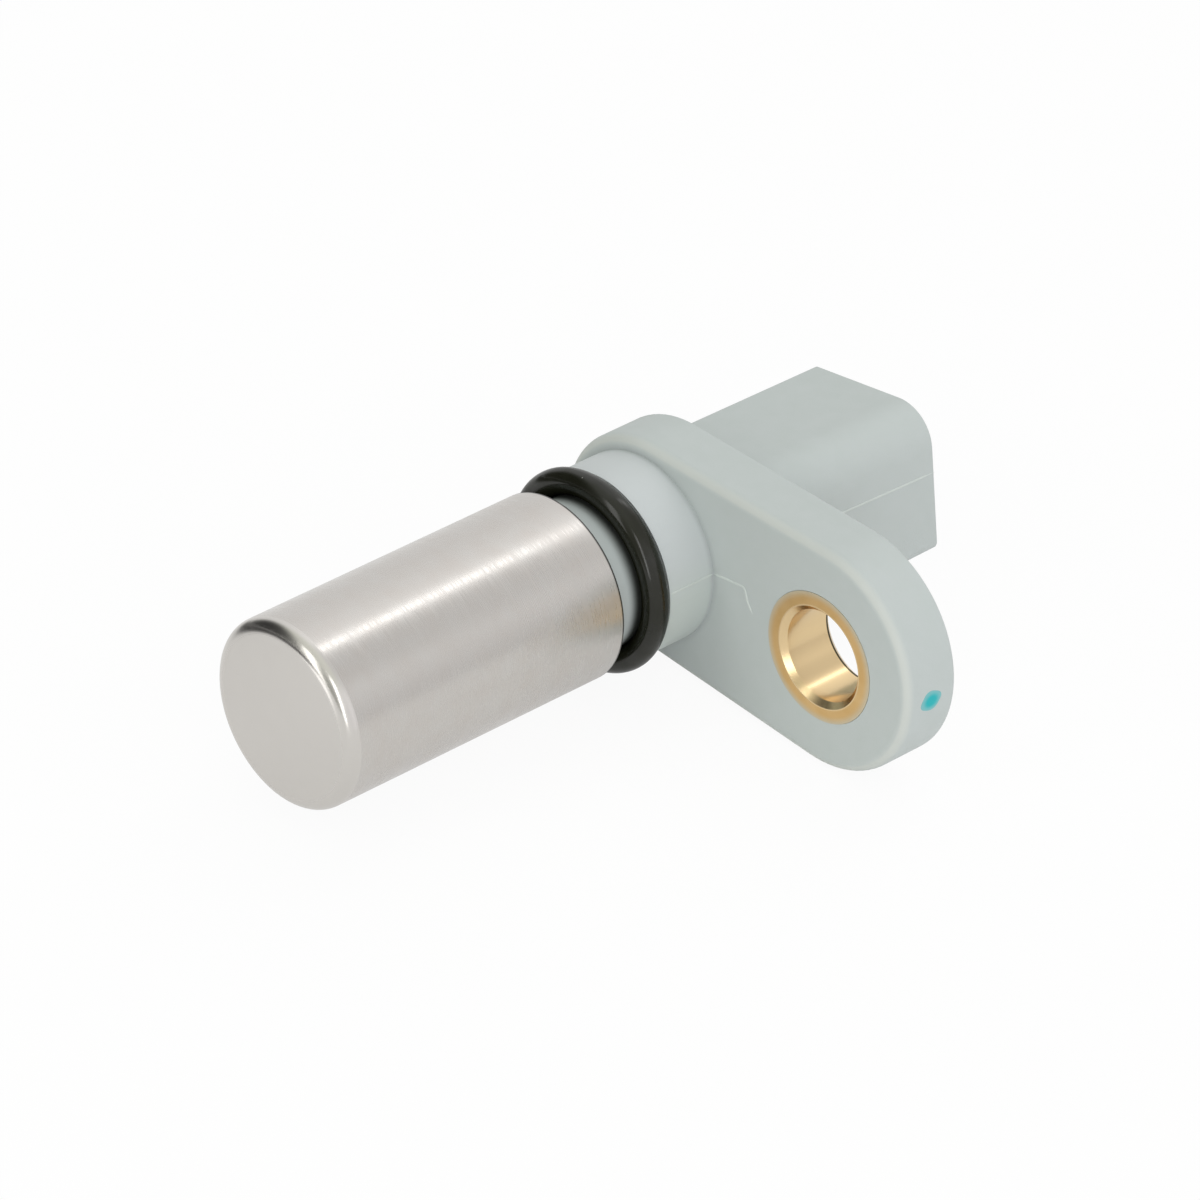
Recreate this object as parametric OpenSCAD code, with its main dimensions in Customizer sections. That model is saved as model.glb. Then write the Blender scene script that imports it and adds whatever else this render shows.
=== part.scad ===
// Crankshaft position sensor: a moulded housing with a bolt flange and a plug socket,
// a drawn metal cap over the sensing element, a seal ring and a bushing for the bolt.
// It is drawn standing with its tip up and z = 0 on the flange's seating face,
// then laid down so that the tip points along -Y and the bolt ear along +X.

/* [Barrel] */
// Outside diameter of the metal cap
cap_d = 17.5; // [16:0.1:20]
// Distance from the seating face to the sensing tip
tip_z = 42.1; // [40:0.1:60]
// Distance from the seating face to the cap's open rim
rim_z = 10.5; // [9.5:0.1:12]
// Thickness of the drawn metal of the cap
cap_wall = 0.4; // [0.3:0.05:0.6]
// Outside radius of the bend between the cap's wall and its end
cap_bend = 1.25; // [0.6:0.05:2]
// Rounding of the cap's trimmed rim
cap_rim_round = 0.12; // [0.05:0.01:0.2]
// Length of the moulded plug that the cap is pressed over
plug_len = 6; // [4:0.5:8]

/* [Seal] */
// Diameter of the shoulder between the seal and the flange
shoulder_d = 17.8; // [17:0.1:19]
// Length of the shoulder, from the seating face
shoulder_len = 5.2; // [4:0.1:6]
// Diameter of the groove floor that the seal is stretched over
groove_d = 14.2; // [13:0.1:15]
// Thickness of the seal's round section
seal_d = 2.4; // [2:0.1:3]

/* [Flange] */
// Thickness of the flange
flange_t = 5.8; // [5:0.1:9]
// Radius of the flange around the barrel
flange_r = 10.2; // [9.8:0.05:12]
// Distance by which the bolt ear's radius is larger than the flange's round the barrel
ear_extra = 0.56; // [0.2:0.02:1.5]
// Distance from the barrel's axis to the bolt's axis
bolt_x = 22; // [20:0.5:30]
// Rounding of the flange's edge on the seating side
front_round = 1; // [0.3:0.05:1.5]
// Rounding of the flange's edge on the socket side
back_round = 0.4; // [0.2:0.05:1]

/* [Bolt bushing] */
// Outside diameter of the bushing
bush_d = 12.3; // [11:0.1:14]
// Diameter of the bolt hole
bore_d = 8.6; // [6.5:0.1:9.5]
// Width of the chamfer at both ends of the bolt hole
bush_chamfer = 0.5; // [0.2:0.05:0.8]
// Height of the bushing above both faces of the flange
bush_proud = 0.05; // [0:0.01:0.2]

/* [Socket] */
// Turn of the plug socket about the barrel's axis
socket_turn = 10.45; // [0:0.05:20]
// Width of the socket's shroud at the flange
shroud_w = 15; // [14:0.1:18]
// Height of the socket's shroud at the flange
shroud_h = 14.3; // [13:0.1:16]
// Sideways distance from the barrel's axis to the middle of the shroud
shroud_x = 2.5; // [0:0.05:4]
// Upward distance from the barrel's axis to the middle of the shroud
shroud_y = -0.7; // [-2:0.05:2]
// Length of the shroud behind the flange
shroud_len = 20.7; // [18:0.1:26]
// Wall of the shroud
shroud_wall = 1.5; // [1.2:0.1:2]
// Depth of the socket from its rim
socket_depth = 16; // [14:0.5:17.5]
// Radius of the large corner that keys the plug
key_round = 4.05; // [2.5:0.05:5]
// Radius of the corner below the large one
side_round = 1.1; // [0.6:0.05:1.4]
// Radius of the two far corners
far_round = 0.65; // [0.6:0.05:1.2]
// Radius of the socket's inside corners
inside_round = 0.4; // [0.2:0.05:1]
// Distance by which each side of the shroud leans in between the flange and the rim
shroud_lean = 0.22; // [0.02:0.02:0.3]
// Chamfer round the shroud's rim
rim_chamfer = 0.15; // [0.1:0.05:0.25]
// Width of the ramp that the plug's latch snaps over
ramp_w = 5; // [4:0.5:7]
// Height of the latch ramp
ramp_h = 1.3; // [0.8:0.1:1.6]
// Length of the latch ramp's slope
ramp_len = 4.5; // [3:0.5:6]
// Distance from the shroud's rim to the start of the latch ramp
ramp_inset = 2.5; // [1.5:0.5:5]

/* [Terminals] */
// Distance between neighbouring terminals
pin_pitch = 3.4; // [3:0.1:3.8]
// Width of a terminal blade
pin_w = 1.5; // [1:0.1:1.8]
// Thickness of a terminal blade
pin_t = 0.64; // [0.5:0.02:0.8]
// Length of a blade inside the socket
blade_len = 8.5; // [6:0.5:11]
// Length of the sharpened end of a blade
blade_point = 1; // [0.6:0.1:1.5]
// Length of the sideways jog inside the flange
jog_len = 4; // [3:0.5:5]
// Length of a terminal's foot on the circuit board
foot_len = 3; // [2:0.5:5]

/* [Sensing element] */
// Diameter of the bias magnet
magnet_d = 6; // [4:0.1:6]
// Length of the bias magnet
magnet_len = 5.5; // [4:0.5:7]
// Width and height of the sensor chip
chip_side = 5.2; // [4.6:0.1:5.4]
// Thickness of the sensor chip
chip_t = 1.2; // [0.8:0.1:1.6]
// Distance between the chip's legs
leg_pitch = 1.27; // [1.1:0.01:1.4]
// Width and thickness of a chip leg
leg_side = 0.4; // [0.3:0.05:0.5]
// Length of a chip leg on the circuit board
leg_foot = 2.5; // [1.5:0.5:4]
// Length of the carrier's round head, which holds the chip and the magnet
head_len = 9; // [8.5:0.5:10]
// Width of the circuit board
board_w = 11; // [10:0.2:11.6]
// Thickness of the circuit board
board_t = 0.8; // [0.6:0.1:1.2]
// Length of a capacitor
capacitor_len = 3.2; // [2:0.1:3.6]
// Width of a capacitor
capacitor_w = 1.6; // [1:0.1:2]
// Height of a capacitor
capacitor_h = 1.2; // [0.6:0.1:1.6]
// Distance between the middles of the capacitors
capacitor_pitch = 5.5; // [4:0.1:6]

/* [Clearances] */
// Gap of a pressed or overmoulded fit
fit_gap = 0.02; // [0.01:0.01:0.05]
// Gap round the carrier inside the cap
carrier_gap = 0.15; // [0.05:0.05:0.3]
// Gap between faces that lie on each other inside the barrel
seat_gap = 0.05; // [0.02:0.01:0.1]

/* [Hidden] */
$fn = 96;
PIN_COUNT = 3;
LEG_COUNT = 3;
CAPACITOR_COUNT = 2;
cut = 1;

cap_r = cap_d / 2;
cap_inner_r = cap_r - cap_wall;
cap_inner_bend = max(cap_bend - cap_wall, 0);
plug_r = cap_inner_r - fit_gap;
plug_z = rim_z + plug_len;
groove_r = groove_d / 2;
shoulder_r = shoulder_d / 2;
seal_r = groove_r + fit_gap + seal_d / 2;
seal_z = shoulder_len + fit_gap + seal_d / 2;

// The flange's rounded outline: an arc round the barrel, an arc round the bolt, and their tangents
ear_r = flange_r + ear_extra;
flange_taper = asin(ear_extra / bolt_x);
flange_side = bolt_x * cos(flange_taper);
bush_r = bush_d / 2;
bore_r = bore_d / 2;
bush_half = flange_t / 2 + bush_proud;

// The shroud runs from inside the flange to its rim
shroud_rim_z = -flange_t - shroud_len;
socket_floor_z = shroud_rim_z + socket_depth;
shroud_root_z = -flange_t / 2;

// Corners of the shroud from the lower far one round: [side in x, side in y, radius]
shroud_corners = [
    [-1, -1, far_round],
    [1, -1, side_round],
    [1, 1, key_round],
    [-1, 1, far_round]
];

// Levels of the stack inside the cap, measured up from the barrel's axis and along it
carrier_r = cap_inner_r - carrier_gap;
carrier_top = tip_z - cap_wall - seat_gap;
carrier_foot = plug_z + seat_gap;
head_z = carrier_top - head_len;
chip_z = carrier_top - chip_t;
magnet_r = magnet_d / 2;
magnet_top = chip_z - seat_gap;
magnet_z = magnet_top - magnet_len;
leg_y = -max(magnet_r, chip_side / 2) - leg_side - 2 * seat_gap;
board_y = leg_y - seat_gap;
board_floor_y = board_y - board_t;
bed_y = board_floor_y - seat_gap;
board_foot_z = carrier_foot + seat_gap;
board_len = head_z - seat_gap - board_foot_z;
leg_channel_w = (LEG_COUNT - 1) * leg_pitch + leg_side + 4 * seat_gap;

// Terminals lie in one plane through the middle of the shroud and step down to the board
pin_y = shroud_y - pin_t / 2;
pin_foot_y = board_y + seat_gap;
pin_step_z = plug_z + seat_gap + pin_t;
pin_tail_z = pin_step_z + foot_len;
blade_tip_z = socket_floor_z - blade_len;
jog_z = -flange_t / 2 - jog_len / 2;

// Lays the standing sensor down: its z axis becomes -Y and its y axis becomes +Z
module lay_down() {
    rotate([90, 0, 0]) children();
}

// Turns a piece about the barrel's axis to line up with the plug socket
module with_socket() {
    rotate(socket_turn) children();
}

// Quarter disc that fills one rounded corner, with its centre at the origin
module quarter_disc(r) {
    intersection() {
        circle(r);
        square(r);
    }
}

// Edge section of a slab: x from inner to outer, y from low to high, outer corners rounded
module rim_section(inner, outer, low, high, low_round, high_round) {
    translate([inner, low + low_round])
        square([outer - inner, high - low - low_round - high_round]);
    if (high_round > 0) {
        translate([inner, high - high_round])
            square([outer - high_round - inner, high_round]);
        translate([outer - high_round, high - high_round])
            quarter_disc(high_round);
    }
    if (low_round > 0) {
        translate([inner, low])
            square([outer - low_round - inner, low_round]);
        translate([outer - low_round, low + low_round])
            mirror([0, 1]) quarter_disc(low_round);
    }
}

// Upper half of the flange, built square to its tapered side and trimmed at the middle plane
module half_flange() {
    intersection() {
        rotate(flange_taper) {
            rotate(90) rotate_extrude(angle = 90 + 2 * flange_taper)
                rim_section(0, flange_r, -flange_t, 0, back_round, front_round);
            translate([flange_side, -ear_extra, 0])
                mirror([1, 0, 0]) rotate(90) rotate_extrude(angle = 90 + 4 * flange_taper)
                    rim_section(0, ear_r, -flange_t, 0, back_round, front_round);
            rotate([90, 0, 90]) linear_extrude(flange_side)
                rim_section(-ear_extra, flange_r, -flange_t, 0, back_round, front_round);
        }
        translate([-2 * flange_r, 0, -flange_t - cut])
            cube([bolt_x + 2 * (flange_r + ear_r), 2 * ear_r, flange_t + 2 * cut]);
    }
}

// Side section of the shroud: x from inner to outer at the flange, leaning in to a chamfered rim
module shroud_section(inner, outer) {
    rim_x = outer - shroud_lean;
    polygon([
        [inner, shroud_rim_z],
        [rim_x - rim_chamfer, shroud_rim_z],
        [rim_x, shroud_rim_z + rim_chamfer],
        [outer, -flange_t],
        [outer, shroud_root_z],
        [inner, shroud_root_z]
    ]);
}

// Side section of the space inside the shroud, which has straight walls
module socket_section(inner, outer) {
    translate([inner, shroud_rim_z - cut])
        square([outer - inner, socket_depth + cut]);
}

// Carries one of the two sections round four corners, listed as [centre x, centre y, radius]
module around(corners, inside) {
    count = len(corners);
    for (i = [0 : count - 1]) {
        here = corners[i];
        next = corners[(i + 1) % count];
        step = [next[0] - here[0], next[1] - here[1]];
        side_len = (i % 2 == 0) ? abs(step[0]) : abs(step[1]);
        translate([here[0], here[1], 0]) rotate(90 * i) {
            rotate(180) rotate_extrude(angle = 90) side_section(0, here[2], inside);
            rotate([90, 0, 90]) mirror([1, 0, 0]) linear_extrude(side_len)
                side_section(min(0, here[2] - next[2]), here[2], inside);
        }
    }
}

// The section that around() carries: the socket's inside or the shroud's outside
module side_section(inner, outer, inside) {
    if (inside) socket_section(inner, outer);
    else shroud_section(inner, outer);
}

// Corners of the shroud, or of the socket inside it, as [centre x, centre y, radius]
function shroud_arcs(inset, least_round) = [
    for (corner = shroud_corners)
        let (r = max(corner[2] - inset, least_round))
            [
                corner[0] * (shroud_w / 2 - inset - r),
                corner[1] * (shroud_h / 2 - inset - r),
                r
            ]
];

// Flat outline through the corners' centres, which fills the middle of the shroud or socket
module arc_core(corners, low, high) {
    translate([0, 0, low]) linear_extrude(high - low)
        polygon([for (corner = corners) [corner[0], corner[1]]]);
}

// Outside of the shroud
module shroud_solid() {
    corners = shroud_arcs(0, 0);
    around(corners, false);
    arc_core(corners, shroud_rim_z, shroud_root_z);
}

// Space inside the shroud, from its floor out past the rim
module socket_space() {
    corners = shroud_arcs(shroud_wall, inside_round);
    around(corners, true);
    arc_core(corners, shroud_rim_z - cut, socket_floor_z);
}

// Shoulder, seal groove and cap plug, turned round the barrel's axis
module barrel_core() {
    rotate_extrude() polygon([
        [0, shroud_root_z],
        [shoulder_r, shroud_root_z],
        [shoulder_r, shoulder_len],
        [groove_r, shoulder_len],
        [groove_r, rim_z],
        [plug_r, rim_z],
        [plug_r, plug_z],
        [0, plug_z]
    ]);
}

// Wedge under the shroud that holds the plug's latch
module latch_ramp() {
    root = -shroud_h / 2 + shroud_wall / 2;
    crest = -shroud_h / 2 - ramp_h;
    foot_z = shroud_rim_z + ramp_inset;
    translate([-ramp_w / 2, 0, 0]) rotate([90, 0, 90]) linear_extrude(ramp_w) polygon([
        [root, foot_z],
        [-shroud_h / 2, foot_z],
        [crest, foot_z + ramp_len],
        [root, foot_z + ramp_len]
    ]);
}

// Sideways place of a terminal in the row of three, counted from the middle
function pin_x(i) = (i - (PIN_COUNT + 1) / 2) * pin_pitch;

// One stamped terminal, widened all round by gap where it is the space left in the housing
module terminal_form(i, gap) {
    half = pin_w / 2 + gap;
    board_x = pin_x(i);
    blade_x = shroud_x + pin_x(i);
    translate([0, pin_y + pin_t + gap, 0]) rotate([90, 0, 0])
        linear_extrude(pin_t + 2 * gap) polygon([
            [board_x - half, pin_step_z],
            [board_x - half, jog_z + jog_len],
            [blade_x - half, jog_z],
            [blade_x - half, blade_tip_z + blade_point],
            [blade_x - half / 2, blade_tip_z],
            [blade_x + half / 2, blade_tip_z],
            [blade_x + half, blade_tip_z + blade_point],
            [blade_x + half, jog_z],
            [board_x + half, jog_z + jog_len],
            [board_x + half, pin_step_z]
        ]);
}

module housing() {
    color("#BCC4C3") lay_down() difference() {
        union() {
            half_flange();
            mirror([0, 1, 0]) half_flange();
            barrel_core();
            with_socket() translate([shroud_x, shroud_y, 0]) {
                shroud_solid();
                latch_ramp();
            }
        }
        translate([bolt_x, 0, -flange_t - cut])
            cylinder(r = bush_r + fit_gap, h = flange_t + 2 * cut);
        with_socket() {
            translate([shroud_x, shroud_y, 0]) socket_space();
            for (i = [1 : PIN_COUNT]) terminal_form(i, fit_gap);
        }
    }
}

module sensor_cap() {
    color("#C9C6C1") lay_down() rotate_extrude() difference() {
        rim_section(0, cap_r, rim_z, tip_z, cap_rim_round, cap_bend);
        rim_section(0, cap_inner_r, rim_z - cut, tip_z - cap_wall, 0, cap_inner_bend);
    }
}

module seal_ring() {
    color("#2B2B29") lay_down() translate([0, 0, seal_z])
        rotate_extrude() translate([seal_r, 0]) circle(seal_d / 2);
}

module bolt_bushing() {
    color("#CFA662") lay_down() translate([bolt_x, 0, -flange_t / 2])
        rotate_extrude() polygon([
            [bore_r, bush_chamfer - bush_half],
            [bore_r + bush_chamfer, -bush_half],
            [bush_r, -bush_half],
            [bush_r, bush_half],
            [bore_r + bush_chamfer, bush_half],
            [bore_r, bush_half - bush_chamfer]
        ]);
}

// Round head with pockets for the chip and the magnet, and a flat bed for the board
module chip_carrier() {
    pocket = chip_side + 2 * seat_gap;
    color("#3A3D42") lay_down() with_socket() difference() {
        rotate_extrude()
            rim_section(0, carrier_r, carrier_foot, carrier_top, 0, cap_inner_bend);
        translate([-cap_d, bed_y, carrier_foot - cut])
            cube([2 * cap_d, cap_d, head_z - carrier_foot + cut]);
        translate([-pocket / 2, -pocket / 2, magnet_top])
            cube([pocket, pocket, carrier_top - magnet_top + cut]);
        translate([0, 0, magnet_z - seat_gap])
            cylinder(r = magnet_r + seat_gap, h = carrier_top - magnet_z + cut);
        translate([-leg_channel_w / 2, board_y, head_z - cut])
            cube([leg_channel_w, -board_y, carrier_top - head_z + 2 * cut]);
    }
}

module bias_magnet() {
    color("#6D6F72") lay_down() translate([0, 0, magnet_z])
        cylinder(r = magnet_r, h = magnet_len);
}

// Chip body with its legs bent back under the magnet to the circuit board
module sensor_chip() {
    color("#202124") lay_down() with_socket() {
        translate([-chip_side / 2, -chip_side / 2, chip_z])
            cube([chip_side, chip_side, chip_t]);
        for (i = [1 : LEG_COUNT]) {
            leg_x = (i - (LEG_COUNT + 1) / 2) * leg_pitch - leg_side / 2;
            translate([leg_x, leg_y, chip_z + (chip_t - leg_side) / 2])
                cube([leg_side, -leg_y, leg_side]);
            translate([leg_x, leg_y, head_z - leg_foot])
                cube([leg_side, leg_side, chip_z + (chip_t + leg_side) / 2 - head_z + leg_foot]);
        }
    }
}

module circuit_board() {
    color("#2F6B45") lay_down() with_socket()
        translate([-board_w / 2, board_floor_y, board_foot_z])
            cube([board_w, board_t, board_len]);
}

// Capacitors lie side by side on the board, between the terminals' feet and the chip's legs
module capacitor(i) {
    middle_x = (i - (CAPACITOR_COUNT + 1) / 2) * capacitor_pitch;
    middle_z = (pin_tail_z + head_z - leg_foot) / 2;
    color("#B79A74") lay_down() with_socket()
        translate([
            middle_x - capacitor_len / 2,
            board_y + seat_gap,
            middle_z - capacitor_w / 2
        ])
            cube([capacitor_len, capacitor_h, capacitor_w]);
}

// Stamped blade with its other end bent down to a foot on the circuit board
module terminal(i) {
    color("#C8C4B8") lay_down() with_socket() {
        terminal_form(i, 0);
        translate([pin_x(i) - pin_w / 2, pin_foot_y, pin_step_z - pin_t])
            cube([pin_w, pin_y + pin_t - pin_foot_y, pin_t]);
        translate([pin_x(i) - pin_w / 2, pin_foot_y, pin_step_z - pin_t])
            cube([pin_w, pin_t, pin_tail_z - pin_step_z + pin_t]);
    }
}

housing();
sensor_cap();
seal_ring();
bolt_bushing();
chip_carrier();
bias_magnet();
sensor_chip();
circuit_board();
for (i = [1 : CAPACITOR_COUNT])
    capacitor(i);
for (i = [1 : PIN_COUNT])
    terminal(i);
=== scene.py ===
import bpy
import numpy as np
from mathutils import Matrix, Vector


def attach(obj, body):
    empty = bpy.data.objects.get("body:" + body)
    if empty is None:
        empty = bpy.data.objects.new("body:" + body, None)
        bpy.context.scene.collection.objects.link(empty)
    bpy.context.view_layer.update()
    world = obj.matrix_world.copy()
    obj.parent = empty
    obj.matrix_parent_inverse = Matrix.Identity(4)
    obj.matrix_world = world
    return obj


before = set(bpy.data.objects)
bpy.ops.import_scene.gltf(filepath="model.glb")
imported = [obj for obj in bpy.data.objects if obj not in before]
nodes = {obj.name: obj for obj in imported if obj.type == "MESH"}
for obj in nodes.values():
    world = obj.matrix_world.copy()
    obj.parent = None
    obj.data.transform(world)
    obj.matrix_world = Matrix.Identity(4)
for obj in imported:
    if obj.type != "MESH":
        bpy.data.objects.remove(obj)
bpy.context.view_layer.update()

# Terminals: three blades stamped from tinned strip, laid in the mould before the housing
# is shot round them. Their tips show in the socket, their feet stand on the circuit board.
# The rolling of the strip leaves fine lines along each blade.
TIN = (0.60, 0.58, 0.53, 1.0)
TIN_DULL = (0.47, 0.46, 0.42, 1.0)
TIN_GRAIN, TIN_STRETCH = 9000.0, (1.0, 0.03, 1.0)
TIN_ROUGH, TIN_RELIEF = (0.28, 0.42), 0.000004
FINE_DETAIL, BROAD_DETAIL = 3.0, 4.0
BROAD_SCALE, BROAD_WEIGHT = 0.08, 0.35
TONE_LOW, TONE_HIGH = 0.3, 0.7


def put(tree, kind, inputs=None, **settings):
    """Adds one node, sets its properties, and feeds each input from a socket or a value."""
    made = tree.nodes.new(kind)
    for key, value in settings.items():
        setattr(made, key, value)
    for key, value in (inputs or {}).items():
        if isinstance(value, bpy.types.NodeSocket):
            tree.links.new(value, made.inputs[key])
        else:
            made.inputs[key].default_value = value
    return made


def start_material(name):
    """Makes an empty finish. Returns it, its node tree, its shader and Object coordinates."""
    finish = bpy.data.materials.new(name)
    finish.use_nodes = True
    tree = finish.node_tree
    place = put(tree, "ShaderNodeTexCoord").outputs["Object"]
    return finish, tree, tree.nodes["Principled BSDF"], place


def start_group(name, inputs, outputs):
    """Makes a shared effect with named float or vector inputs and float outputs."""
    group = bpy.data.node_groups.new(name, "ShaderNodeTree")
    for label, kind in inputs:
        group.interface.new_socket(name=label, in_out="INPUT", socket_type=kind)
    for label in outputs:
        group.interface.new_socket(
            name=label, in_out="OUTPUT", socket_type="NodeSocketFloat"
        )
    return group, put(group, "NodeGroupInput"), put(group, "NodeGroupOutput")


def make_fine_grain():
    """Surface grain: the sum of a fine noise and a broad one. Height is their weighted sum,
    Tone is the broad noise spread over 0 to 1."""
    group, given, result = start_group(
        "fine_grain",
        (("Vector", "NodeSocketVector"), ("Scale", "NodeSocketFloat")),
        ("Height", "Tone"),
    )
    place, scale = given.outputs["Vector"], given.outputs["Scale"]
    broad_scale = put(
        group, "ShaderNodeMath", {0: scale, 1: BROAD_SCALE}, operation="MULTIPLY"
    ).outputs[0]
    fine = put(
        group, "ShaderNodeTexNoise", {"Vector": place, "Scale": scale, "Detail": FINE_DETAIL}
    ).outputs["Fac"]
    broad = put(
        group,
        "ShaderNodeTexNoise",
        {"Vector": place, "Scale": broad_scale, "Detail": BROAD_DETAIL},
    ).outputs["Fac"]
    height = put(
        group,
        "ShaderNodeMath",
        {0: broad, 1: BROAD_WEIGHT, 2: fine},
        operation="MULTIPLY_ADD",
    )
    tone = put(
        group,
        "ShaderNodeMapRange",
        {"Value": broad, "From Min": TONE_LOW, "From Max": TONE_HIGH},
    )
    group.links.new(height.outputs[0], result.inputs["Height"])
    group.links.new(tone.outputs[0], result.inputs["Tone"])
    return group


FINE_GRAIN = make_fine_grain()


def grain(tree, place, scale, stretch=(1.0, 1.0, 1.0)):
    """Places the shared grain in a finish, stretched along the axes where lines run, and
    returns its height and its tone."""
    laid = put(tree, "ShaderNodeMapping", {"Vector": place, "Scale": stretch}).outputs[0]
    made = put(tree, "ShaderNodeGroup", node_tree=FINE_GRAIN)
    made.inputs["Scale"].default_value = scale
    tree.links.new(laid, made.inputs["Vector"])
    return made.outputs["Height"], made.outputs["Tone"]


def blend(tree, factor, first, second):
    """Mixes two colours, given as sockets or plain values, by a factor that varies."""
    made = put(tree, "ShaderNodeMix", data_type="RGBA")
    tree.links.new(factor, made.inputs["Factor"])
    for label, value in (("A", first), ("B", second)):
        socket = [s for s in made.inputs if s.name == label and s.type == "RGBA"][0]
        if isinstance(value, bpy.types.NodeSocket):
            tree.links.new(value, socket)
        else:
            socket.default_value = value
    return [s for s in made.outputs if s.type == "RGBA"][0]


def spread(tree, value, low, high):
    """Maps a value of 0 to 1 onto low to high."""
    return put(
        tree, "ShaderNodeMapRange", {"Value": value, "To Min": low, "To Max": high}
    ).outputs[0]


def roughen(tree, shader, height, depth):
    """Feeds the shader's Normal with a bump of that depth in metres."""
    bump = put(tree, "ShaderNodeBump", {"Height": height, "Distance": depth})
    tree.links.new(bump.outputs[0], shader.inputs["Normal"])


def dress(finish, *names):
    """Puts a finish on whole CAD nodes."""
    for name in names:
        for slot in nodes[name].material_slots:
            slot.material = finish


tinned, tree, shader, place = start_material("tinned_strip")
height, tone = grain(tree, place, TIN_GRAIN, TIN_STRETCH)
tree.links.new(blend(tree, tone, TIN, TIN_DULL), shader.inputs["Base Color"])
tree.links.new(spread(tree, tone, *TIN_ROUGH), shader.inputs["Roughness"])
roughen(tree, shader, height, TIN_RELIEF)
shader.inputs["Metallic"].default_value = 1.0
dress(tinned, "terminal_1", "terminal_2", "terminal_3")

# Bolt bushing: a brass sleeve turned from bar, also laid in the mould, that takes the
# bolt's clamping force. Turning leaves rings on its ends and in its bore, and a film of plastic
# has crept over the rim of its faces. The bore's paler colour is a painted reflection, and a
# thin dark band near the bore's back edge is painted shade.
MM = 0.001
BOLT_X = 22.0
BRASS = (0.63, 0.405, 0.160, 1.0)
BRASS_PALE = (0.69, 0.470, 0.215, 1.0)
# The bore's paler colour is a painted reflection.
BORE_SHEEN = (0.74, 0.56, 0.32, 1.0)
FILM = (0.52, 0.49, 0.38, 1.0)
BORE_EDGE_SHADE = (0.07, 0.06, 0.04, 1.0)
FACE_FROM, FACE_TO = 4.82, 4.98
FILM_FROM, FILM_TO = 5.35, 6.45
EDGE_SHADE_RISE, EDGE_SHADE_FALL = (5.10, 5.18), (5.30, 5.36)
BRASS_GRAIN = 5000.0
RING_SCALE, RING_DETAIL, RING_RELIEF = 9000.0, 2.0, 0.000004
BORE_ROUGH, FACE_ROUGH = (0.16, 0.28), (0.28, 0.44)
METAL_BARE, METAL_FILMED = 1.0, 0.15


def choose(tree, factor, first, second):
    """Mixes two plain numbers or sockets by a factor that varies."""
    made = put(tree, "ShaderNodeMix", data_type="FLOAT")
    tree.links.new(factor, made.inputs[0])
    for index, value in ((2, first), (3, second)):
        if isinstance(value, bpy.types.NodeSocket):
            tree.links.new(value, made.inputs[index])
        else:
            made.inputs[index].default_value = value
    return made.outputs[0]


def step(tree, value, start, stop):
    """Mask along a length: 0 up to start and 1 from stop on, both in millimetres, with a
    smooth step between. It is turned round where stop lies below start."""
    return put(
        tree,
        "ShaderNodeMapRange",
        {"Value": value, "From Min": start * MM, "From Max": stop * MM},
        interpolation_type="SMOOTHSTEP",
    ).outputs[0]


def times(tree, first, second):
    """Product of two masks."""
    return put(tree, "ShaderNodeMath", {0: first, 1: second}, operation="MULTIPLY").outputs[0]


def band(tree, value, rise, fall):
    """Mask along a length: up from 0 to 1 over the span rise, down again over the span fall."""
    return times(tree, step(tree, value, *rise), step(tree, value, fall[1], fall[0]))


def length_of(tree, vector):
    """Length of a vector."""
    return put(tree, "ShaderNodeVectorMath", {0: vector}, operation="LENGTH").outputs["Value"]


def about_axis(tree, place, x):
    """Distance from the axis that runs along Y through x millimetres, and the way along it."""
    flat = put(
        tree,
        "ShaderNodeMapping",
        {"Vector": place, "Location": (-x * MM, 0.0, 0.0), "Scale": (1.0, 0.0, 1.0)},
    ).outputs[0]
    along = put(tree, "ShaderNodeSeparateXYZ", {0: place}).outputs["Y"]
    return length_of(tree, flat), along


brass, tree, shader, place = start_material("turned_brass")
radius, depth = about_axis(tree, place, BOLT_X)
tool_path = put(tree, "ShaderNodeMath", {0: radius, 1: depth}, operation="ADD").outputs[0]
rings = put(
    tree,
    "ShaderNodeTexNoise",
    {"W": tool_path, "Scale": RING_SCALE, "Detail": RING_DETAIL},
    noise_dimensions="1D",
).outputs["Fac"]
tone = grain(tree, place, BRASS_GRAIN)[1]
film = step(tree, radius, FILM_FROM, FILM_TO)
on_face = step(tree, radius, FACE_FROM, FACE_TO)
# A thin band of painted shade darkens the bore near its back edge.
bore = blend(tree, band(tree, depth, EDGE_SHADE_RISE, EDGE_SHADE_FALL), BORE_SHEEN, BORE_EDGE_SHADE)
metal = blend(tree, on_face, bore, blend(tree, tone, BRASS, BRASS_PALE))
tree.links.new(blend(tree, film, metal, FILM), shader.inputs["Base Color"])
tree.links.new(spread(tree, film, METAL_BARE, METAL_FILMED), shader.inputs["Metallic"])
rough = choose(
    tree, on_face, spread(tree, rings, *BORE_ROUGH), spread(tree, rings, *FACE_ROUGH)
)
tree.links.new(rough, shader.inputs["Roughness"])
roughen(tree, shader, rings, RING_RELIEF)
dress(brass, "bolt_bushing")

# Housing: one shot of glass-filled plastic that makes the cap's plug, the seal groove, the
# shoulder, the flange and the plug socket. It is grey-green and matt. Light and shade are
# painted over it: a painted highlight along the flange's front edge, a painted shadow in the
# groove next to the seal ring, a shoulder painted paler as if lit and paler and bluer towards
# its top, and painted shade in the corner between shoulder and flange.
PLASTIC = (0.510, 0.553, 0.545, 1.0)
PLASTIC_SHADE = (0.500, 0.546, 0.534, 1.0)
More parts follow.
